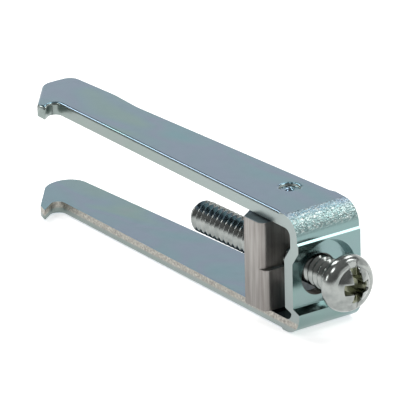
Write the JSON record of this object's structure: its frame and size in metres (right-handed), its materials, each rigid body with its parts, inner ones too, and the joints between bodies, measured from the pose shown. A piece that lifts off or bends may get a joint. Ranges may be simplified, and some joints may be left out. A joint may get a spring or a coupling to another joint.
{
  "type": "din rail end stop",
  "caption": "Folded steel bracket with two claws and a clamp block on a cross-slotted screw, which clamps on a mounting rail to hold terminals in place.",
  "frame": {"origin": "underside of the lower arm, on the strip's centre line and half way along the bracket's length", "axes": "+X along the arms towards the screw head, +Y away from the rail, +Z from the lower arm to the upper one"},
  "size_m": [0.0558, 0.0096, 0.0128],
  "materials": {
    "plated_sheet": "glossy blue-green zinc plate with a faint iridescence",
    "drawn_bar": "satin, drawn lengthwise",
    "bright_screw": "bright plated"
  },
  "bodies": {
    "bracket": {"bracket": "plated_sheet"},
    "block": {"clamp_block": "drawn_bar"},
    "screw": {"clamp_screw": "bright_screw"}
  },
  "joints": [
    {"name": "block_slide", "type": "slide", "parent": "bracket", "child": "block", "axis": [1, 0, 0], "range_m": [-0.006, 0.0019]},
    {"name": "screw_turn", "type": "hinge", "parent": "bracket", "child": "screw", "pos_m": [0.02525, -0.00034, 0.00615], "axis": [-1, 0, 0], "range_deg": [-2700.01, 855.01]}
  ],
  "couplings": [
    {"joint": "screw_turn", "follows": "block_slide", "rad_per_m": 7854}
  ]
}
